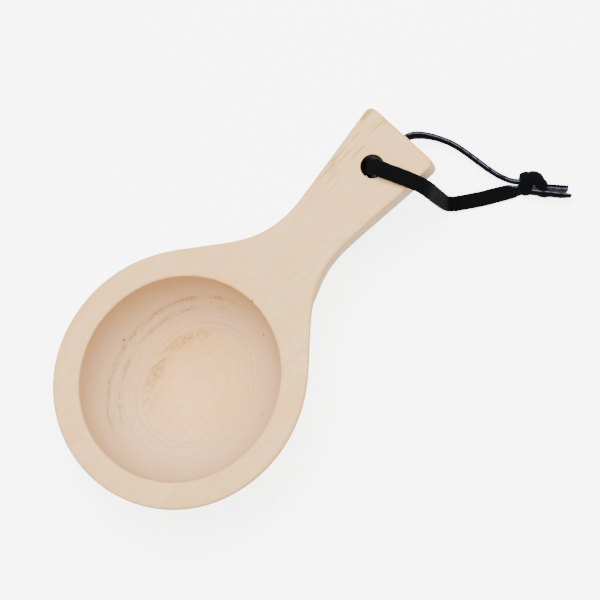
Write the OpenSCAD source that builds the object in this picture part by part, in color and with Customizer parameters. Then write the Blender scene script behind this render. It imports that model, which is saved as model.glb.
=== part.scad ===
// Kuksa: a drinking cup carved from one block of pale wood, with a flat handle
// and a knotted leather lace through the hole near the handle's end.
// Millimetres. The origin is the centre of the flat base, +Z is up and +X runs
// from the bowl along the handle.

/* [Bowl] */
// Outside width of the bowl across its rim
bowl_d = 95; // [86:1:120]
// Height of the rim, and of the handle's top, above the base
rim_h = 52; // [42:1:66]
// Width of the flat rim round the hollow
rim_w = 9.5; // [7:0.5:13]
// How much longer the hollow is along the handle than across it
hollow_extra_l = 5; // [1:0.5:8]
// How far the hollow's middle lies from the bowl's, toward the handle
hollow_off = 3.5; // [1:0.5:4]
// Thickness of wood under the deepest point of the hollow
floor_t = 9; // [6:0.5:14]
// Width of the flat base
base_d = 52; // [40:1:60]
// Height of the upright edge round the rim and the shoulders
edge_h = 4.5; // [3:0.5:8]
// Angle at which the bowl's side leans in below that edge
side_lean = 10.5; // [8:0.5:14]
// Height of the round belly between the base and the straight side
belly_h = 26; // [18:1:30]

/* [Shoulders] */
// How much larger the shoulders' radius is than the bowl's
shoulder_extra_r = 8; // [4:1:14]
// Angle round the bowl, from the handle, where the shoulder curve starts
shoulder_from = 113; // [100:1:130]

/* [Handle] */
// Distance from the bowl's edge to the narrowest point of the handle
neck_gap = 32.5; // [30:0.5:44]
// Width of the handle at its narrowest point
neck_w = 24; // [18:1:30]
// Radius of the hollow curve on each side of the neck
neck_r = 38; // [28:1:44]
// Distance from the narrowest point to the handle's end
grip_l = 50; // [40:1:70]
// Angle at which each side of the handle opens toward its end
flare = 6; // [0:0.5:10]
// Radius of the two corners at the handle's end
corner_r = 3; // [1:0.5:6]
// Thickness of the handle at its narrowest point
handle_t = 14; // [10:0.5:20]
// How much thicker the handle is at its end
end_extra_t = 4; // [0:0.5:6]
// Distance from the bowl's middle to where the handle starts to thicken
root_x = 35; // [20:1:45]
// Radius of the carved curve between the bowl's side and the shoulders
web_r = 16; // [8:1:20]

/* [Lace hole] */
// Width of the lace hole
hole_d = 9; // [7.5:0.5:11]
// Distance from the hole's centre to the handle's end
hole_inset = 17; // [14:0.5:22]

/* [Lace] */
// Width of the leather lace
lace_w = 6; // [4:0.5:6]
// Thickness of the leather lace
lace_t = 2.2; // [1.4:0.1:2.4]
// Height of the knot as it lies
knot_d = 9.6; // [8:0.2:12]
// Length of the knot
knot_l = 13; // [10:0.5:16]
// Length of the longer loose end, past the knot
tail_long_l = 9; // [6:0.5:30]
// Length of the shorter loose end, past the knot
tail_short_l = 7.5; // [6:0.5:30]

/* [Hidden] */
$fn = 96;

bowl_r = bowl_d / 2;
neck_x = bowl_r + neck_gap;
end_x = neck_x + grip_l;
hole_x = end_x - hole_inset;
past = 1;                     // how far a cut runs past the face it leaves by
web_bite = 0.5;               // how far the web's curve runs into what it joins
edge_z = rim_h - edge_h;      // the underside of the rim's upright edge
spread = 2 * end_x;           // larger than the whole cup

// The hollow is one half-round bowl drawn out along the handle, so that the
// rim is as wide at the far side as it is across the bowl.
hollow_r = bowl_r - rim_w;
hollow_shift = hollow_extra_l / 2;
hollow_h = rim_h - floor_t;
// A hollow shallower than a half ball is a cap of a larger ball.
round_r = hollow_h < hollow_r ? (pow(hollow_r, 2) + pow(hollow_h, 2)) / (2 * hollow_h) : hollow_r;
hollow_round_z = floor_t + round_r;

// Below its upright edge the bowl's side leans in, and then turns smoothly into
// the belly's arc, which ends at the base.
function side_x(z) = bowl_r - (edge_z - z) * tan(side_lean);
side_in = [-cos(side_lean), sin(side_lean)];
belly_top = [side_x(belly_h), belly_h];
to_base = belly_top - [base_d / 2, 0];
belly_r = -pow(norm(to_base), 2) / (2 * to_base * side_in);
belly_c = belly_top + belly_r * side_in;

// Plan outline of the plate, one side: the broad shoulder arc that leaves the
// bowl's circle, a straight slope, the neck's hollow arc and the flared side.
shoulder_r = bowl_r + shoulder_extra_r;
shoulder_c = -shoulder_extra_r * [cos(shoulder_from), sin(shoulder_from)];
neck_c = [neck_x, neck_w / 2 + neck_r];
between = neck_c - shoulder_c;
slope_a = atan2(between[1], between[0]) - asin((shoulder_r + neck_r) / norm(between));
end_y = neck_c[1] - neck_r * cos(flare)
    + (end_x - neck_x - neck_r * sin(flare)) * tan(flare);
corner_back = corner_r * (1 - tan(flare)) / cos(flare);

function arc(c, r, from, to, n) =
    [for (i = [0:n]) c + r * [cos(from + (to - from) * i / n), sin(from + (to - from) * i / n)]];

shoulder_start = shoulder_from - 6;    // where the arc is clear of the bowl's circle
half_outline = concat(
    arc(shoulder_c, shoulder_r, shoulder_start, slope_a + 90, 10),
    arc(neck_c, neck_r, slope_a - 90, flare - 90, 8),
    arc([end_x - corner_r, end_y - corner_back], corner_r, 90 + flare, 0, 4));
outline = concat([[0, 0]], half_outline,
    [for (i = [len(half_outline) - 1:-1:0]) [half_outline[i][0], -half_outline[i][1]]]);

// Route of the lace's centreline, and beside each point the direction of its
// width there. It starts in the knot, lies flat along the table, climbs the
// handle's side, goes down through the hole and comes back to the knot on edge.
lace_route = [
    [[148.2, -43.0, 2.2], [0.53, 0.82, 0.15]],
    [[145.2, -40.7, 1.6], [0.53, 0.84, 0.05]],
    [[141.5, -37.7, 1.4], [0.54, 0.84, 0]],
    [[137.0, -34.8, 1.3], [0.54, 0.84, 0]],
    [[132.8, -31.7, 1.3], [0.56, 0.83, 0]],
    [[128.7, -28.6, 1.3], [0.58, 0.81, 0]],
    [[126.0, -26.5, 1.5], [0.62, 0.78, 0]],
    [[124.1, -24.9, 2.2], [0.67, 0.74, 0]],
    [[122.9, -23.7, 4.4], [0.72, 0.69, 0]],
    [[122.4, -23.1, 9.0], [0.78, 0.62, 0]],
    [[122.0, -22.8, 17.0], [0.84, 0.54, 0]],
    [[121.6, -22.5, 27.0], [0.88, 0.47, 0]],
    [[121.2, -22.2, 37.0], [0.91, 0.41, 0]],
    [[120.9, -21.6, 45.0], [0.92, 0.39, 0]],
    [[120.6, -20.7, 50.0], [0.92, 0.39, 0]],
    [[120.1, -19.0, 53.1], [0.92, 0.39, 0]],
    [[119.2, -16.4, 54.2], [0.92, 0.39, 0]],
    [[117.9, -12.8, 54.2], [0.92, 0.39, 0]],
    [[116.3, -8.7, 54.8], [0.92, 0.39, 0]],
    [[114.9, -5.2, 55.6], [0.92, 0.39, 0]],
    [[113.8, -2.2, 55.3], [0.92, 0.39, 0]],
    [[112.9, 0.0, 53.4], [0.92, 0.39, 0]],
    [[112.5, 1.2, 50.0], [0.92, 0.39, 0]],
    [[112.3, 1.6, 45.0], [0.92, 0.39, 0]],
    [[112.3, 1.7, 39.0], [0.92, 0.39, 0]],
    [[112.4, 1.6, 33.5], [0.92, 0.39, 0.05]],
    [[113.2, 1.7, 28.5], [0.89, 0.38, 0.20]],
    [[115.6, 2.1, 24.0], [0.78, 0.32, 0.55]],
    [[119.2, 3.0, 20.6], [0.58, 0.24, 0.78]],
    [[123.6, 4.0, 18.0], [0.46, 0.12, 0.88]],
    [[128.5, 4.8, 15.3], [0.38, 0, 0.93]],
    [[133.0, 3.9, 12.4], [0.30, -0.18, 0.94]],
    [[136.7, 0.7, 9.0], [0.18, -0.24, 0.95]],
    [[139.7, -4.0, 6.4], [0.08, -0.26, 0.96]],
    [[141.8, -9.3, 4.6], [0.03, -0.20, 0.98]],
    [[142.8, -15.2, 3.8], [0, -0.08, 1]],
    [[143.4, -21.4, 3.5], [0, 0, 1]],
    [[144.0, -27.2, 3.5], [-0.12, 0, 1]],
    [[145.0, -32.4, 3.8], [-0.35, -0.18, 0.92]],
    [[147.2, -36.5, 4.7], [-0.50, -0.40, 0.77]],
    [[149.7, -40.0, 5.9], [-0.54, -0.48, 0.69]]];

knot_at = [151.5, -44.2];
knot_turn = -52;              // the knot's length points this way from above
tail_gap = 0.4;               // space between the two loose ends
tail_sink = 1.5;              // how deep each loose end goes into the knot
lace_lift = 0.2;              // the lace's lowest point above the table
tail_long_turn = -6;          // each loose end points this way from the knot's line
tail_short_turn = 2;

function unit(v) = v / norm(v);
function travel(route, i) =
    unit(route[min(i + 1, len(route) - 1)][0] - route[max(i - 1, 0)][0]);
// The width direction, made square to the way the lace runs.
function across(route, i) =
    let (t = travel(route, i), w = route[i][1]) unit(w - (w * t) * t);

// A flat lace's section: its width and thickness with the four long edges eased.
lace_ease = lace_t / 4;
lace_section = let (w = lace_w / 2, t = lace_t / 2, e = lace_ease) [
    [w, e - t], [w, t - e], [w - e, t], [e - w, t],
    [-w, t - e], [-w, e - t], [e - w, -t], [w - e, -t]];

// A solid that follows a route with the same flat section all along.
module flat_lace(route) {
    sides = len(lace_section);
    last = len(route) - 1;
    polyhedron(
        points = [for (i = [0:last])
            let (t = travel(route, i), a = across(route, i), n = cross(t, a))
            for (p = lace_section) route[i][0] + p[0] * a + p[1] * n],
        faces = concat(
            [[for (k = [0:sides - 1]) k]],
            [for (i = [0:last - 1], k = [0:sides - 1], half = [0, 1])
                let (m = (k + 1) % sides, here = i * sides, next = here + sides)
                half == 0 ? [here + k, next + k, next + m]
                          : [here + k, next + m, here + m]],
            [[for (k = [sides - 1:-1:0]) last * sides + k]]));
}

// Half of the bowl, seen in section: a round belly cut flat at the base, and the
// side and the rim's edge above it.
module bowl_section() {
    intersection() {
        translate(belly_c) circle(belly_r);
        square([bowl_r, belly_h]);
    }
    polygon([
        [0, belly_h - past], [belly_top[0] - past, belly_h - past], belly_top,
        [bowl_r, edge_z], [bowl_r, rim_h], [0, rim_h]]);
}

// The hollow: round at the bottom and upright at the mouth, and drawn out along
// the handle.
module hollow() {
    mouth_h = rim_h + past - hollow_round_z;
    translate([hollow_off, 0, hollow_round_z]) {
        for (side = [-1, 1])
            translate([side * hollow_shift, 0, 0]) {
                sphere(round_r);
                if (mouth_h > past) cylinder(h = mouth_h, r = hollow_r);
            }
        rotate([0, 90, 0]) cylinder(h = 2 * hollow_shift, r = round_r, center = true);
        if (mouth_h > past)
            translate([-hollow_shift, -hollow_r, 0])
                cube([2 * hollow_shift, 2 * hollow_r, mouth_h]);
    }
}

// The plate that is both the shoulders and the handle. It is as thin as the
// rim's edge beside the bowl and grows thicker toward the handle's end.
module plate() {
    intersection() {
        linear_extrude(rim_h) polygon(outline);
        translate([0, spread / 2, 0]) rotate([90, 0, 0]) linear_extrude(spread)
            polygon([
                [-spread / 2, rim_h], [-spread / 2, edge_z],
                [root_x, edge_z], [neck_x, rim_h - handle_t],
                [end_x + past, rim_h - handle_t - end_extra_t],
                [end_x + past, rim_h]]);
    }
}

// Section of the carved curve that eases the bowl's side into the plate.
module web_section() {
    web_z = edge_z - web_r + web_bite;
    web_x = side_x(web_z) + (web_r - web_bite) / cos(side_lean);
    foot = [web_x, web_z] + web_r * side_in;
    top = (edge_z + rim_h) / 2;
    difference() {
        polygon([[0, foot[1]], foot, [web_x, web_z], [web_x, top], [0, top]]);
        translate([web_x, web_z]) circle(web_r);
    }
}

// That curve runs under the shoulders and the neck. It starts from nothing where
// the shoulders do, and is whole a little way past the bowl's middle.
module web() {
    from_x = bowl_r * cos(shoulder_start);
    intersection() {
        linear_extrude(rim_h) polygon(outline);
        rotate_extrude() web_section();
        translate([0, spread / 2, 0]) rotate([90, 0, 0]) linear_extrude(spread)
            polygon([
                [from_x, rim_h], [from_x, edge_z], [web_r, edge_z - web_r],
                [spread, edge_z - web_r], [spread, rim_h]]);
    }
}

module cup() {
    color([0.89, 0.80, 0.70])
        difference() {
            union() {
                rotate_extrude() bowl_section();
                plate();
                web();
            }
            hollow();
            translate([hole_x, 0, 0]) cylinder(h = rim_h + past, d = hole_d);
        }
}

module lace_strap() {
    color([0.05, 0.05, 0.06]) flat_lace(lace_route);
}

// Places a shape on the knot's line: +X runs from the strap to the loose ends.
module on_knot(z) {
    translate([knot_at[0], knot_at[1], z]) rotate([0, 0, knot_turn]) children();
}

module lace_knot() {
    ease = knot_l / 4;
    color([0.05, 0.05, 0.06])
        on_knot(lace_lift + knot_d / 2)
            rotate([0, 90, 0])
                rotate_extrude()
                    polygon([
                        [0, -knot_l / 2], [knot_d / 2 - ease, -knot_l / 2],
                        [knot_d / 2, ease - knot_l / 2], [knot_d / 2, knot_l / 2 - ease],
                        [knot_d / 2 - ease, knot_l / 2], [0, knot_l / 2]]);
}

// A loose end stands on its edge, beside the other one.
module tail(side, l, turn) {
    color([0.05, 0.05, 0.06])
        on_knot(lace_lift)
            translate([knot_l / 2 - tail_sink, side * (lace_t + tail_gap) / 2, 0])
                rotate([0, 0, turn])
                    translate([0, -lace_t / 2, 0])
                        cube([l + tail_sink, lace_t, lace_w]);
}

module lace_tail_long() {
    tail(-1, tail_long_l, tail_long_turn);
}

module lace_tail_short() {
    tail(1, tail_short_l, tail_short_turn);
}

cup();
lace_strap();
lace_knot();
lace_tail_long();
lace_tail_short();
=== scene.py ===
import math

import bmesh
import bpy
from mathutils import Matrix, Vector, noise


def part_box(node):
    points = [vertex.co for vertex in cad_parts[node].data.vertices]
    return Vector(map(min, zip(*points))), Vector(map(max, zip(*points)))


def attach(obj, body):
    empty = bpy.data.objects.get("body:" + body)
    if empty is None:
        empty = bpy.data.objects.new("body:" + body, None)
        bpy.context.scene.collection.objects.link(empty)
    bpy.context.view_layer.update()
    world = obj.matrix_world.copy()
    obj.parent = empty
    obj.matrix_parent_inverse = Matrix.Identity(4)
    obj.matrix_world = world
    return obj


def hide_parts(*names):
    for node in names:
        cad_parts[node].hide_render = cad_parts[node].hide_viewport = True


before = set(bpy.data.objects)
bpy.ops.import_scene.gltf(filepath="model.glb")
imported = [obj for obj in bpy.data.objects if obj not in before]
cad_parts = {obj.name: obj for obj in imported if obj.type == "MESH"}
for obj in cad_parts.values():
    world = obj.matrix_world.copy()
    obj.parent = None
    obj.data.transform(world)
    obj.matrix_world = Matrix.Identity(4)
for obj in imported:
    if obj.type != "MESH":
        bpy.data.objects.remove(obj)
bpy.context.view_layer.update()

mm = 0.001
cup_low, cup_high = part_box("cup")

# --- View -----------------------------------------------------------------
# The cup is seen from almost straight above, with the camera leaning a little
# toward the handle's lace side and the handle pointing up and to the right.
view_far = 1.0
view_width = 228 * mm
view_lean = math.radians(10)
view_lean_turn = math.radians(12.6)
handle_rise = math.radians(47.5)
view_aim = Vector((57 * mm, -14.1 * mm, cup_high.z))

lens = bpy.data.cameras.new("view")
lens.sensor_width = 36
lens.lens = lens.sensor_width * view_far / view_width
camera = bpy.data.objects.new("view", lens)
bpy.context.scene.collection.objects.link(camera)
turn = (
    Matrix.Rotation(view_lean_turn, 4, "Z")
    @ Matrix.Rotation(view_lean, 4, "X")
    @ Matrix.Rotation(-handle_rise - view_lean_turn, 4, "Z")
)
camera.matrix_world = Matrix.Translation(view_aim) @ turn @ Matrix.Translation((0, 0, view_far))
bpy.context.scene.camera = camera


# --- Cup ------------------------------------------------------------------
# The whole cup is one piece of pale close-grained wood. The round bowl and the
# hollow are cut first, then the shoulders and the flat handle that run out level
# with the rim, and every edge is sanded over.
bowl_r = -cup_low.x
rim_z = cup_high.z
end_x = cup_high.x
rim_w = 9.5 * mm
hollow_stretch = 2.5 * mm
hollow_off = 3.5 * mm
floor_t = 9 * mm
base_r = 26 * mm
edge_z = rim_z - 4.5 * mm
side_lean = math.radians(10.5)
belly_z = 26 * mm
root_x = 35 * mm
handle_t = 14 * mm
end_extra_t = 4 * mm
shoulder_extra_r = 8 * mm
shoulder_from = math.radians(113)
neck_x = 80 * mm
neck_half = 12 * mm
neck_r = 38 * mm
flare = math.radians(6)
corner_r = 3 * mm
hole_x = end_x - 17 * mm
hole_r = 4.5 * mm
hole_c = Vector((hole_x, 0))
hole_collar = 1 * mm
edge_round = 1.1 * mm
hole_round = 0.45 * mm
steps = 48
step = math.tau / steps
eighth = math.tau / 8
pole_r = 1.5 * mm
weld = 0.01 * mm
near = 0.1 * mm
sharp_from = math.radians(50)

hollow_r = bowl_r - rim_w
hollow_z = floor_t + hollow_r
shoulder_r = bowl_r + shoulder_extra_r
shoulder_c = -shoulder_extra_r * Vector((math.cos(shoulder_from), math.sin(shoulder_from)))
neck_c = Vector((neck_x, neck_half + neck_r))
between = neck_c - shoulder_c
slope = math.atan2(between.y, between.x) - math.asin((shoulder_r + neck_r) / between.length)
slope_square = Vector((-math.sin(slope), math.cos(slope)))
slope_start = shoulder_c + shoulder_r * slope_square
slope_end = neck_c - neck_r * slope_square


def side_x(height):
    """The bowl's side leans in below its upright edge."""
    return bowl_r - (edge_z - height) * math.tan(side_lean)


def plan_reach(angle):
    """How far the shoulders' edge is from the bowl's axis, at an angle from the handle."""
    way = Vector((math.cos(angle), abs(math.sin(angle))))
    turn_from_handle = math.atan2(way.y, way.x)
    if turn_from_handle > shoulder_from:
        return bowl_r
    if turn_from_handle > math.atan2(slope_start.y, slope_start.x):
        along = shoulder_c.dot(way)
        return along + math.sqrt(shoulder_r**2 - shoulder_c.length_squared + along**2)
    if turn_from_handle > math.atan2(slope_end.y, slope_end.x):
        return slope_start.dot(slope_square) / way.dot(slope_square)
    return slope_end.x / way.x


def handle_half(x):
    """Half the handle's width at a distance along it."""
    flare_x = neck_x + neck_r * math.sin(flare)
    if x < flare_x:
        return neck_c.y - math.sqrt(neck_r**2 - (x - neck_x) ** 2)
    return neck_c.y - neck_r * math.cos(flare) + (x - flare_x) * math.tan(flare)


def under_z(x):
    """The handle's underside drops toward the neck, and a little more past it."""
    if x < neck_x:
        share = (x - root_x) / (neck_x - root_x)
        return edge_z + (rim_z - handle_t - edge_z) * share
    return rim_z - handle_t - end_extra_t * (x - neck_x) / (end_x - neck_x)


# The belly's arc leaves the leaning side smoothly and ends at the base.
inward = Vector((-math.cos(side_lean), math.sin(side_lean)))
belly_top = Vector((side_x(belly_z), belly_z))
to_base = belly_top - Vector((base_r, 0))
belly_r = -to_base.length_squared / (2 * to_base.dot(inward))
belly_c = belly_top + belly_r * inward
base_angle = math.atan2(belly_c.x - base_r, belly_c.y)
belly_parts = 6
well_parts = 9


def belly_point(share):
    """A point on the belly's arc, from the base at 0 to the leaning side at 1."""
    angle = -base_angle + (math.pi / 2 - side_lean + base_angle) * share
    return belly_c.x + belly_r * math.sin(angle), belly_c.y - belly_r * math.cos(angle)


def well_point(share):
    """A point on the hollow's round bottom, from its wall at 0 toward its middle at 1."""
    angle = math.pi / 2 * (1 - share)
    return hollow_r * math.sin(angle), hollow_z - hollow_r * math.cos(angle)


foot_z = 38 * mm
profile = [(0, 0), (base_r / 3, 0), (base_r * 0.7, 0)]
profile += [belly_point(i / belly_parts) for i in range(belly_parts + 1)]
foot_ring = len(profile)
profile += [(side_x(foot_z), foot_z), (bowl_r, edge_z), (bowl_r, rim_z), (hollow_r, rim_z)]
profile += [well_point(i / well_parts) for i in range(well_parts)]
profile += [(pole_r, floor_t), (0, floor_t)]
edge_ring = foot_ring + 1
top_ring = foot_ring + 2
web_foot = 3 * mm
hole_side = 6.5 * mm
column_shares = (0, 0.42, 0.74, 1)
handle_stations = [60 * mm, 66 * mm, 73 * mm, neck_x, 88 * mm, 97 * mm]
handle_stations += [hole_x - hole_side, hole_x, hole_x + hole_side, end_x - corner_r, end_x]

cup_bm = bmesh.new()
ring_of = cup_bm.verts.layers.int.new("ring")
column_of = cup_bm.verts.layers.int.new("column")
chain = []
for number, (radius, height) in enumerate(profile):
    vert = cup_bm.verts.new((radius, 0, height))
    vert[ring_of] = number
    chain.append(vert)
edges = [cup_bm.edges.new(pair) for pair in zip(chain, chain[1:])]
bmesh.ops.spin(
    cup_bm, geom=chain + edges, cent=(0, 0, 0), axis=(0, 0, 1), dvec=(0, 0, 0),
    angle=math.tau, steps=steps, use_merge=True, use_duplicate=False,
)
bmesh.ops.remove_doubles(cup_bm, verts=cup_bm.verts, dist=weld)

neck_columns = 3
for vert in cup_bm.verts:
    ring = vert[ring_of]
    angle = math.atan2(vert.co.y, vert.co.x)
    column = round(angle / step)
    vert[column_of] = column
    if ring in (edge_ring, top_ring):
        vert.co.xy = vert.co.xy.normalized() * plan_reach(angle)
    if ring > top_ring:
        vert.co.x = hollow_off + vert.co.x * (hollow_r + hollow_stretch) / hollow_r
    if ring == edge_ring and abs(column) <= neck_columns:
        vert.co.z = (rim_z + under_z(vert.co.x)) / 2
    if ring == foot_ring and abs(column) <= neck_columns:
        vert.co.xy += vert.co.xy.normalized() * web_foot

neck_faces = [
    face for face in cup_bm.faces
    if all(
        foot_ring <= vert[ring_of] <= top_ring and abs(vert[column_of]) <= neck_columns
        for vert in face.verts
    )
]
for x in handle_stations:
    grown = bmesh.ops.extrude_face_region(cup_bm, geom=neck_faces)["geom"]
    bmesh.ops.delete(cup_bm, geom=neck_faces, context="FACES")
    neck_faces = [item for item in grown if isinstance(item, bmesh.types.BMFace)]
    heights = {top_ring: rim_z, edge_ring: (rim_z + under_z(x)) / 2, foot_ring: under_z(x)}
    for vert in {vert for face in neck_faces for vert in face.verts}:
        share = math.copysign(column_shares[abs(vert[column_of])], vert[column_of])
        vert.co = (x, share * handle_half(x), heights[vert[ring_of]])

hole_edges = []
for ring in (top_ring, foot_ring):
    middle = min(
        (vert for vert in cup_bm.verts if vert[ring_of] == ring),
        key=lambda vert: (vert.co.xy - hole_c).length,
    )
    height = middle.co.z
    around = bmesh.ops.dissolve_faces(cup_bm, faces=list(middle.link_faces))["region"]
    bmesh.ops.inset_region(cup_bm, faces=around, thickness=hole_collar, depth=0)
    mouth = around[0]
    # The ring is drawn wider, because smoothing pulls an eight-sided ring in.
    swell = 6 / (4 + 2 * math.cos(eighth))
    for vert in mouth.verts:
        way = vert.co.xy - hole_c
        angle = round(math.atan2(way.y, way.x) / eighth) * eighth
        vert.co = (
            hole_x + hole_r * swell * math.cos(angle),
            hole_r * swell * math.sin(angle),
            height,
        )
    hole_edges += list(mouth.edges)
    bmesh.ops.delete(cup_bm, geom=[mouth], context="FACES_ONLY")
bmesh.ops.bridge_loops(cup_bm, edges=hole_edges)
bmesh.ops.recalc_face_normals(cup_bm, faces=cup_bm.faces)

corner_edges = [
    edge for edge in cup_bm.edges
    if all(
        vert.co.x > end_x - near and abs(vert.co.y) > handle_half(end_x) - near
        for vert in edge.verts
    )
    and abs(edge.verts[0].co.z - edge.verts[1].co.z) > mm
]
bmesh.ops.bevel(
    cup_bm, geom=corner_edges, offset=corner_r, offset_type="OFFSET", affect="EDGES",
    segments=3, profile=0.5, material=-1, clamp_overlap=False,
)
sharp = [
    edge for edge in cup_bm.edges
    if edge.is_manifold and edge.calc_face_angle_signed(0) > sharp_from
]
hole_mouths = [
    edge for edge in sharp
    if all((vert.co.xy - hole_c).length < 1.5 * hole_r for vert in edge.verts)
]
outer_edges = [edge for edge in sharp if edge not in hole_mouths]
for sanded_edges, sanded_by in ((outer_edges, edge_round), (hole_mouths, hole_round)):
    bmesh.ops.bevel(
        cup_bm, geom=sanded_edges, offset=sanded_by, offset_type="OFFSET", affect="EDGES",
        segments=2, profile=0.5, material=-1, clamp_overlap=False,
    )
for face in cup_bm.faces:
    face.smooth = True

cup_mesh = bpy.data.meshes.new("wooden_cup")
cup_bm.to_mesh(cup_mesh)
cup_bm.free()
cup = bpy.data.objects.new("wooden_cup", cup_mesh)
bpy.context.scene.collection.objects.link(cup)
rounding = cup.modifiers.new("rounding", "SUBSURF")
rounding.levels = 2
rounding.render_levels = 2


class Socket:
    """A shader value that Python's own arithmetic adds Math nodes to."""

    def __init__(self, paint, link):
        self.paint = paint
        self.link = link

    def maths(self, operation, *values):
        settings = {"operation": operation}
        return self.paint.node("ShaderNodeMath", settings, dict(enumerate(values)))

    def __add__(self, other):
        return self.maths("ADD", self, other)

    def __sub__(self, other):
        return self.maths("SUBTRACT", self, other)

    def __rsub__(self, other):
        return self.maths("SUBTRACT", other, self)

    def __mul__(self, other):
        return self.maths("MULTIPLY", self, other)

    def __truediv__(self, other):
        return self.maths("DIVIDE", self, other)

    def __pow__(self, other):
        return self.maths("POWER", self, other)

    def __abs__(self):
        return self.maths("ABSOLUTE", self)

    __radd__ = __add__
    __rmul__ = __mul__

    def step(self, low, high):
        """0 below low, 1 above high and smooth between them."""
        settings = {"interpolation_type": "SMOOTHSTEP"}
        inputs = {"Value": self, "From Min": low, "From Max": high}
        return self.paint.node("ShaderNodeMapRange", settings, inputs)

    def peak(self, middle, half_width):
        """1 at middle, falling smoothly to 0 at half_width on each side of it."""
        return 1 - abs(self - middle).step(0, half_width)


class Paint:
    """One material and the ways to add nodes to it."""

    def __init__(self, name):
        self.material = bpy.data.materials.new(name)
        self.material.use_nodes = True
        self.tree = self.material.node_tree
        self.shader = self.tree.nodes["Principled BSDF"]

    def put(self, socket, value):
        if isinstance(value, Socket):
            self.tree.links.new(value.link, socket)
        else:
            socket.default_value = value

    def node(self, kind, settings=None, inputs=None, output=0):
        made = self.tree.nodes.new(kind)
        for name, value in (settings or {}).items():
            setattr(made, name, value)
        for name, value in (inputs or {}).items():
            self.put(made.inputs[name], value)
        return Socket(self, made.outputs[output])

    def object_mm(self):
        """The piece's own coordinates, in millimetres."""
        place = self.node("ShaderNodeTexCoord", output="Object")
        return self.stretch(place, (1 / mm, 1 / mm, 1 / mm))

    def stretch(self, place, factors):
        settings = {"operation": "MULTIPLY"}
        return self.node("ShaderNodeVectorMath", settings, {0: place, 1: factors})

    def noise(self, place, scale, detail=2.0):
        inputs = {"Vector": place, "Scale": scale, "Detail": detail}
        return self.node("ShaderNodeTexNoise", None, inputs)

    def blend(self, share, first, second):
        """A colour that goes from the first to the second as share goes from 0 to 1."""
        settings = {"data_type": "RGBA", "clamp_factor": True}
        made = self.node("ShaderNodeMix", settings, {"Factor": share}, output=2)
        node = made.link.node
        for socket, colour in ((node.inputs[6], first), (node.inputs[7], second)):
            self.put(socket, colour if isinstance(colour, Socket) else (*colour, 1))
        return made

    def relief(self, height, strength, distance):
        inputs = {"Height": height, "Strength": strength, "Distance": distance}
        return self.node("ShaderNodeBump", None, inputs)

    def finish(self, **sockets):
        for name, value in sockets.items():
            self.put(self.shader.inputs[name.replace("_", " ").title()], value)
        return self.material


# The tree's heart ran along under the cup, so its yearly rings are closed loops
# in the hollow, close together up its walls, and faint lines along the handle.
wood = Paint("sanded wood")
place = wood.object_mm()
split = wood.node("ShaderNodeSeparateXYZ", None, {"Vector": place}).link.node
x, y, z = (Socket(wood, output) for output in split.outputs)
heart_z = -61.2
ring_pitch = 1.9
ring_drift = 5
ring_ripple = 0.9
late_at = 0.75
late_half = 0.3
faintest_year = 0.25
rim_fade = 0.6
drift = wood.noise(wood.stretch(place, (0.012, 0.05, 0.05)), 1.0)
ripple = wood.noise(wood.stretch(place, (0.05, 0.22, 0.22)), 1.0)
heart_out = (y * y + (z - heart_z) * (z - heart_z)) ** 0.5
ring_turn = (heart_out + drift * ring_drift + ripple * ring_ripple) / ring_pitch
year = ring_turn.maths("FLOOR", ring_turn)
year_depth = wood.node("ShaderNodeTexWhiteNoise", {"noise_dimensions": "1D"}, {"W": year})
late = ring_turn.maths("FRACT", ring_turn).peak(late_at, late_half)
late = late * (faintest_year + (1 - faintest_year) * year_depth)
late = late * (1 - rim_fade * z.step(45, 51))
fibre = wood.noise(wood.stretch(place, (0.16, 2.6, 2.6)), 1.0, 3.0)
cloud = wood.noise(wood.stretch(place, (0.02, 0.07, 0.07)), 1.0)
mottle = wood.noise(wood.stretch(place, (0.14, 0.4, 0.4)), 1.0, 3.0)

# The wood is greyer up the hollow's wall, which is painted shade.
pale_wood = (0.76, 0.46, 0.19)
warm_wood = (0.73, 0.39, 0.12)
late_wood = (0.57, 0.31, 0.12)
wall_shade_grey = (0.66, 0.48, 0.30)
cloud_share = 0.6
mottle_share = 0.6
wall_shade_share = 0.75
late_share = 0.5
fibre_share = 0.34
well_x = x - hollow_off / mm
well_r = (well_x * well_x + y * y) ** 0.5
# Painted shade: this mask covers the hollow's wall, from near its middle up to just under the rim.
wall_shade_mask = well_r.step(12, 32) * (1 - z.step(47, 51.5))
wood_colour = wood.blend(cloud.step(0.35, 0.7) * cloud_share, pale_wood, warm_wood)
wood_colour = wood.blend(mottle.step(0.4, 0.66) * mottle_share, wood_colour, warm_wood)
wood_colour = wood.blend(wall_shade_mask * wall_shade_share, wood_colour, wall_shade_grey)
wood_colour = wood.blend(late * late_share, wood_colour, late_wood)
wood_colour = wood.blend(fibre.step(0.5, 0.7) * fibre_share, wood_colour, late_wood)

# A few brown mineral streaks follow single rings on one side of the hollow, and
# short flecks of the same brown lie along the handle's top.
brown_streak = (0.34, 0.20, 0.015)
streak_share = 0.85
fleck_share = 0.9
inner_share = 0.8
faintest_crumb = 0.25
outer_ring_r, outer_ring_half = 91.3, 2.1
inner_ring_r, inner_ring_half = 86.2, 1.9
floor_ring_r, floor_ring_half = 76.3, 3.2
waver = 1.6
broken = wood.noise(wood.stretch(place, (0.09, 0.4, 0.4)), 1.0, 3.0)
crumbs = wood.noise(wood.stretch(place, (0.5, 1.3, 1.3)), 1.0, 4.0).step(0.38, 0.62)
true_r = heart_out + ripple * waver - waver / 2
far_wall = y.step(3, 16)
well_z = z - hollow_z / mm
well_out = (well_r * well_r + well_z * well_z) ** 0.5
in_hollow = (1 - z.step(38, 44)) * (1 - well_out.step(42, 45))
outer_mark = true_r.peak(outer_ring_r, outer_ring_half) * broken.step(0.34, 0.56)
inner_mark = true_r.peak(inner_ring_r, inner_ring_half) * broken.step(0.40, 0.60) * inner_share
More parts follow.
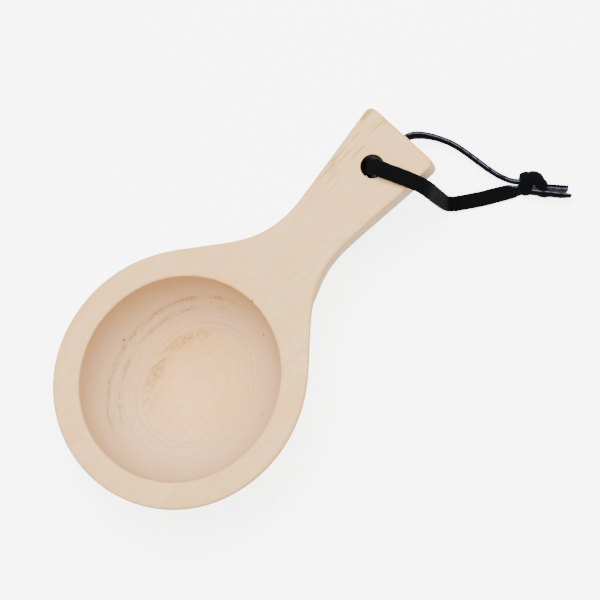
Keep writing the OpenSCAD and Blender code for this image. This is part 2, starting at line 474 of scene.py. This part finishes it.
floor_mark = true_r.peak(floor_ring_r, floor_ring_half) * broken.step(0.34, 0.54)
marks = (outer_mark + inner_mark + floor_mark) * far_wall * in_hollow
marks = marks * (faintest_crumb + (1 - faintest_crumb) * crumbs)
flecks = wood.noise(wood.stretch(place, (0.1, 0.9, 0.9)), 1.0, 2.0).step(0.52, 0.66)
marks = marks + flecks * x.step(92, 100) * y.step(3, 8) * z.step(49, 51.5) * fleck_share
wood_colour = wood.blend(marks * streak_share, wood_colour, brown_streak)

# Pin knots are scattered through the wood, and the inside of the handle's hole is painted near
# black as shade.
old_knot = (0.10, 0.05, 0.025)
hole_shade_black = (0.004, 0.004, 0.004)
pin_scale = 0.055
pin_share = 0.75
hole_shade_edge = 0.3
hole_shade_share = 0.97
pin = wood.node("ShaderNodeTexVoronoi", None, {"Vector": place, "Scale": pin_scale})
wood_colour = wood.blend((1 - pin.step(0.018, 0.05)) * pin_share, wood_colour, old_knot)
# Painted shade: everything inside the hole's radius is blended to near black.
from_hole = x - hole_x / mm
hole_out = (from_hole * from_hole + y * y) ** 0.5
painted_hole_shade = 1 - hole_out.step(hole_r / mm, hole_r / mm + hole_shade_edge)
wood_colour = wood.blend(painted_hole_shade * hole_shade_share, wood_colour, hole_shade_black)

# Sanding leaves the fibres and the harder late wood a little proud and duller.
fibre_rise = 0.5
late_rise = 0.35
grain_strength = 0.35
grain_depth = 0.12 * mm
sanded_rough = 0.52
fibre_rough = 0.16
grain_height = fibre * fibre_rise + late * late_rise
cup_mesh.materials.append(wood.finish(
    base_color=wood_colour,
    roughness=sanded_rough + fibre_rough * fibre,
    normal=wood.relief(grain_height, grain_strength, grain_depth),
))
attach(cup, "cup")
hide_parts("cup")

# --- Lace -----------------------------------------------------------------
# A flat strip cut from black leather, rough suede on one side and smooth on the
# other. It goes down through the handle's hole, and both ends come together in
# the knot.
lace_w = 6 * mm
lace_t = 2.2 * mm
lace_fray = 0.12 * mm
fray_size = 2.2 * mm
row_gap = 0.9 * mm
pared_rows = 4


def smooth_route(rows, spacing):
    """Even points along one smooth curve through the rows, each with its width's way."""
    points = [Vector(place) * mm for place, way in rows]
    ways = [Vector(way).normalized() for place, way in rows]
    fine = []
    for i in range(len(points) - 1):
        before, here = points[max(i - 1, 0)], points[i]
        there, after = points[i + 1], points[min(i + 2, len(points) - 1)]
        parts = max(2, round((there - here).length / (spacing / 4)))
        for part in range(parts):
            t = part / parts
            bend = (
                2 * here + (there - before) * t
                + (2 * before - 5 * here + 4 * there - after) * t**2
                + (3 * here - before - 3 * there + after) * t**3
            )
            fine.append((bend / 2, ways[i].lerp(ways[i + 1], t)))
    fine.append((points[-1], ways[-1]))
    route = [fine[0]]
    gone = 0
    for (last, _), (point, way) in zip(fine, fine[1:]):
        gone += (point - last).length
        if gone >= spacing:
            route.append((point, way))
            gone = 0
    if gone > spacing / 2:
        route.append(fine[-1])
    else:
        route[-1] = fine[-1]
    return route


def leather_strip(strip_bm, route, width=lace_w, thickness=lace_t, crown=0, skive=1):
    """Adds a flat strip of leather that follows the route, rough side at its bottom.

    A crown curls its two edges up, and a skive below 1 thins its last end.
    """
    own = bmesh.new()
    through_of = own.loops.layers.uv.new("through")
    bmesh.ops.create_cube(own, size=1)
    bmesh.ops.translate(own, vec=(0.5, 0, 0), verts=own.verts)
    bmesh.ops.scale(own, vec=(1, width, thickness), verts=own.verts)
    long_edges = [edge for edge in own.edges if abs(edge.verts[0].co.x - edge.verts[1].co.x) > 0.5]
    bmesh.ops.bevel(
        own, geom=long_edges, offset=thickness / 5, offset_type="OFFSET", affect="EDGES",
        segments=2, profile=0.5, material=-1, clamp_overlap=False,
    )
    wide_edges = [
        edge for edge in own.edges
        if abs(edge.verts[0].co.y - edge.verts[1].co.y) > width / 2
    ]
    bmesh.ops.subdivide_edges(own, edges=wide_edges, cuts=3, use_grid_fill=True)
    long_edges = [edge for edge in own.edges if abs(edge.verts[0].co.x - edge.verts[1].co.x) > 0.5]
    bmesh.ops.subdivide_edges(own, edges=long_edges, cuts=len(route) - 2, use_grid_fill=True)
    last = len(route) - 1
    total = sum((b[0] - a[0]).length for a, b in zip(route, route[1:]))
    for face in own.faces:
        face.smooth = True
        for loop in face.loops:
            co = loop.vert.co
            loop[through_of].uv = (co.x * total / mm, co.z / thickness + 0.5)
    for vert in own.verts:
        number = min(last, round(vert.co.x * last))
        point, way = route[number]
        along = (route[min(number + 1, last)][0] - route[max(number - 1, 0)][0]).normalized()
        across = (way - way.dot(along) * along).normalized()
        up = along.cross(across)
        thin = skive + (1 - skive) * min(1, (last - number) / pared_rows)
        wave = noise.noise(point / fray_size + across * vert.co.y / mm) * lace_fray
        lift = vert.co.z * thin + wave / 2 + crown * (2 * vert.co.y / width) ** 2
        vert.co = point + across * (vert.co.y + wave) + up * lift
    made = bpy.data.meshes.new("strip")
    own.to_mesh(made)
    own.free()
    strip_bm.from_mesh(made)
    bpy.data.meshes.remove(made)


def lace_piece(name, strip_bm, material):
    """Makes one piece of the lace, which swings with the rest of it."""
    bmesh.ops.recalc_face_normals(strip_bm, faces=strip_bm.faces)
    piece_mesh = bpy.data.meshes.new(name)
    strip_bm.to_mesh(piece_mesh)
    strip_bm.free()
    piece_mesh.materials.append(material)
    piece = bpy.data.objects.new(name, piece_mesh)
    bpy.context.scene.collection.objects.link(piece)
    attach(piece, "lace")
    return piece


# The cut edge shows the leather's two layers: loose black fibres below, and the
# tight blue-grey skin above. Two lighter lines on it are painted highlights, one
# where the two layers meet and one at the skin's rounded corner.
leather = Paint("black leather")
place = leather.object_mm()
through = leather.node("ShaderNodeUVMap", {"uv_map": "through"})
split = leather.node("ShaderNodeSeparateXYZ", None, {"Vector": through}).link.node
layer = Socket(leather, split.outputs[1])
mid_highlight_at, mid_highlight_half, mid_highlight_share = 0.62, 0.13, 0.8
corner_highlight_at, corner_highlight_half, corner_highlight_share = 0.93, 0.07, 0.6
fuzz_share = 0.08
suede_rough = 0.95
skin_gloss = 0.4
nap_rough = 0.1
nap_strength = 0.5
nap_depth = 0.25 * mm
nap = leather.noise(place, 3.2, 4.0)
patchy = leather.noise(place, 0.5, 2.0)
skin = layer.step(0.5, 0.6)
mid_highlight = layer.peak(mid_highlight_at, mid_highlight_half) * patchy.step(0.3, 0.55) * mid_highlight_share
corner_highlight = layer.peak(corner_highlight_at, corner_highlight_half) * patchy.step(0.35, 0.6) * corner_highlight_share
fuzz = nap.step(0.6, 0.85) * fuzz_share
black_fibre = (0.0018, 0.0018, 0.0021)
blue_skin = (0.006, 0.0065, 0.012)
fleck_and_highlight_grey = (0.13, 0.133, 0.18)
leather_colour = leather.blend(skin, black_fibre, blue_skin)
leather_colour = leather.blend(fuzz, leather_colour, fleck_and_highlight_grey)
# Painted highlights: the two light lines across the cut edge, in the same grey as the nap's
# flecks.
leather_colour = leather.blend(mid_highlight + corner_highlight, leather_colour, fleck_and_highlight_grey)
leather.shader.inputs["Specular IOR Level"].default_value = 0.06
black_leather = leather.finish(
    base_color=leather_colour,
    roughness=suede_rough - skin_gloss * skin + nap_rough * nap,
    normal=leather.relief(nap, nap_strength, nap_depth),
)

lace_rows = [
    ((148.0, -42.6, 3.6), (0.10, 0.15, 0.98)),
    ((145.0, -40.5, 3.3), (0.18, 0.28, 0.94)),
    ((141.5, -37.7, 2.7), (0.46, 0.70, 0.55)),
    ((132.8, -31.7, 2.1), (0.54, 0.80, 0.26)),
    ((126.0, -26.5, 2.1), (0.60, 0.76, 0.22)),
    ((124.1, -24.9, 2.6), (0.67, 0.74, 0.10)),
    ((122.9, -23.7, 4.4), (0.72, 0.69, 0)),
    ((122.4, -23.1, 9.0), (0.78, 0.62, 0)),
    ((121.6, -22.5, 27.0), (0.88, 0.47, 0)),
    ((120.9, -21.6, 45.0), (0.92, 0.39, 0)),
    ((120.6, -20.7, 50.0), (0.92, 0.39, 0)),
    ((120.1, -19.0, 53.1), (0.92, 0.39, 0.1)),
    ((119.2, -16.4, 54.4), (0.90, 0.38, 0.2)),
    ((117.9, -12.8, 54.5), (0.90, 0.38, 0.22)),
    ((116.3, -8.7, 54.9), (0.90, 0.38, 0.22)),
    ((114.9, -5.2, 55.6), (0.90, 0.38, 0.2)),
    ((113.8, -2.2, 55.3), (0.92, 0.39, 0.1)),
    ((112.6, 0.1, 53.4), (0.88, 0.47, 0)),
    ((111.8, 1.2, 50.0), (0.70, 0.71, 0)),
    ((111.6, 1.3, 42.0), (0.66, 0.75, 0)),
    ((111.6, 1.3, 36.5), (0.66, 0.75, 0)),
    ((109.9, 2.2, 30.5), (0.45, 0.89, 0)),
    ((111.2, 3.2, 25.0), (0.05, 1.0, 0)),
    ((115.2, 3.5, 22.2), (-0.30, 0.86, -0.4)),
    ((119.2, 3.6, 20.2), (-0.45, 0.62, -0.64)),
    ((123.6, 4.0, 18.0), (-0.46, 0.20, -0.85)),
    ((128.5, 4.8, 15.3), (-0.38, 0, -0.93)),
    ((133.0, 3.9, 12.4), (-0.30, 0.18, -0.94)),
    ((136.7, 0.7, 9.0), (-0.18, 0.24, -0.95)),
    ((139.7, -4.0, 6.4), (-0.08, 0.26, -0.96)),
    ((141.8, -9.3, 4.6), (-0.03, 0.20, -0.98)),
    ((142.8, -15.2, 3.8), (0, 0.08, -1)),
    ((143.4, -21.4, 3.5), (0, 0, -1)),
    ((144.0, -27.2, 3.5), (0.04, 0, -1)),
    ((145.0, -32.4, 3.8), (0.06, 0.04, -1)),
    ((146.7, -37.0, 4.7), (0.08, 0.06, -1)),
    ((149.3, -40.5, 5.9), (0.10, 0.08, -1)),
]
lace_route = smooth_route(lace_rows, row_gap)
lace_bm = bmesh.new()
leather_strip(lace_bm, lace_route)
lace = lace_piece("leather_lace", lace_bm, black_leather)
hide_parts("lace_strap")

# --- Knot -----------------------------------------------------------------
# Both ends of the lace are tied together in one overhand knot: a turn square to
# the lace, and a second that slants across it to where the loose ends leave.
knot_low, knot_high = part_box("lace_knot")
knot_c = (knot_low + knot_high) / 2
knot_turn = math.radians(-52)
knot_way = Vector((math.cos(knot_turn), math.sin(knot_turn), 0))
knot_side = Vector((-math.sin(knot_turn), math.cos(knot_turn), 0))
knot_up = Vector((0, 0, 1))
turn_start = math.radians(-110)
turn_end = math.radians(600)
turn_parts = 30
first_turn = math.radians(250)
slant_start = math.radians(340)
slant_end = math.radians(560)
band_at = -3.4 * mm
slant_from = 4.6 * mm
slant_to = -1.2 * mm
wrap_w = 5.6 * mm
wrap_t = 2 * mm
wrap_crown = 1.1 * mm
wrap_across = 3.9 * mm
wrap_rise = 3.4 * mm
over_across = 0.4 * mm
over_rise = 0.3 * mm
core_size = (5.4 * mm, 3.3 * mm, 3 * mm, 1)
small_turn = 0.05


def knot_row(angle):
    """Where the wrapped lace's middle is, at an angle round the knot's own line."""
    if angle < first_turn:
        along = band_at
    elif angle < slant_start:
        share = (angle - first_turn) / (slant_start - first_turn)
        along = band_at + (slant_from - band_at) * share
    else:
        share = (angle - slant_start) / (slant_end - slant_start)
        along = slant_from + (slant_to - slant_from) * min(1, share)
    swell = min(1, max(0, (angle - first_turn) / math.pi))
    half_w = wrap_across + over_across * swell
    half_h = wrap_rise + over_rise * swell
    out = -knot_side * math.cos(angle) * half_w + knot_up * math.sin(angle) * half_h
    return knot_c + knot_way * along + out, out.normalized()


knot_rows = []
for i in range(turn_parts + 1):
    angle = turn_start + (turn_end - turn_start) * i / turn_parts
    point, out = knot_row(angle)
    onward = (knot_row(angle + small_turn)[0] - point).normalized()
    knot_rows.append((tuple(point / mm), tuple(onward.cross(out))))
knot_bm = bmesh.new()
knot_route = smooth_route(knot_rows, row_gap)
leather_strip(knot_bm, knot_route, width=wrap_w, thickness=wrap_t, crown=wrap_crown)
# The strands inside the knot fill its middle.
bmesh.ops.create_uvsphere(
    knot_bm, u_segments=24, v_segments=12, radius=1,
    matrix=Matrix.Translation(knot_c) @ Matrix.Rotation(knot_turn, 4, "Z")
    @ Matrix.Diagonal(core_size),
)
knot = lace_piece("leather_knot", knot_bm, black_leather)
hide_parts("lace_knot")

# --- Loose ends -----------------------------------------------------------
# The lace's two ends come out over the knot's second turn and lie on edge beside
# each other, each cut off square and the longer one pared thin at its tip.
tails_off = -2.1
tail_beside = 1.12
tail_from = -1
tail_low = 3.4
tail_rise = 3.2
tail_fall = 1.2
tail_row_gap = 0.8 * mm
for node, side, reach, bow, skive in (
    ("lace_tail_long", -1, 14.6, -0.3, 0.45),
    ("lace_tail_short", 1, 13.0, 0.2, 1),
):
    tail_rows = []
    for share in (0, 0.25, 0.5, 0.75, 1):
        off = side * tail_beside + tails_off + bow * share**2
        along = tail_from + (reach - tail_from) * share
        point = knot_c / mm + knot_way * along + knot_side * off
        point.z = tail_low + tail_rise * (1 - share) ** tail_fall
        tail_rows.append((tuple(point), (0, 0, side)))
    tail_bm = bmesh.new()
    leather_strip(tail_bm, smooth_route(tail_rows, tail_row_gap), skive=skive)
    tail = lace_piece(node.replace("lace", "leather"), tail_bm, black_leather)
    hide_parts(node)

# --- Floor and light ------------------------------------------------------
# A plain white table top under one soft light from above and a faint even light
# all round. The table top and the backdrop shine brighter for the camera alone,
# so that they look white without adding light to the cup.
floor_half = 2
floor_glow = 4.6
sky_light = 0.6
sky_glow = 7
lamp_power = 43
lamp_width = 0.7
lamp_at = Vector((0.28, 0.14, 1.25))
floor_mesh = bpy.data.meshes.new("floor")
floor_bm = bmesh.new()
bmesh.ops.create_grid(floor_bm, x_segments=1, y_segments=1, size=floor_half)
floor_bm.to_mesh(floor_mesh)
floor_bm.free()
floor = bpy.data.objects.new("floor", floor_mesh)
bpy.context.scene.collection.objects.link(floor)
floor_paint = Paint("floor")
floor_seen = floor_paint.node("ShaderNodeLightPath", output="Is Camera Ray")
floor_paint.shader.inputs["Emission Color"].default_value = (1, 1, 1, 1)
floor_mesh.materials.append(floor_paint.finish(
    base_color=(0.95, 0.95, 0.95, 1), roughness=0.9, emission_strength=floor_seen * floor_glow,
))

world = bpy.data.worlds.new("studio")
world.use_nodes = True
backdrop = world.node_tree.nodes["Background"]
backdrop.inputs["Color"].default_value = (1, 1, 1, 1)
sky_seen = world.node_tree.nodes.new("ShaderNodeLightPath")
glow = world.node_tree.nodes.new("ShaderNodeMapRange")
glow.inputs["To Min"].default_value = sky_light
glow.inputs["To Max"].default_value = sky_glow
world.node_tree.links.new(sky_seen.outputs["Is Camera Ray"], glow.inputs["Value"])
world.node_tree.links.new(glow.outputs["Result"], backdrop.inputs["Strength"])
bpy.context.scene.world = world
lamp_data = bpy.data.lights.new("softbox", "AREA")
lamp_data.energy = lamp_power
lamp_data.size = lamp_width
lamp = bpy.data.objects.new("softbox", lamp_data)
lamp.location = lamp_at
lamp.rotation_euler = (view_aim - lamp_at).to_track_quat("-Z", "Y").to_euler()
bpy.context.scene.collection.objects.link(lamp)
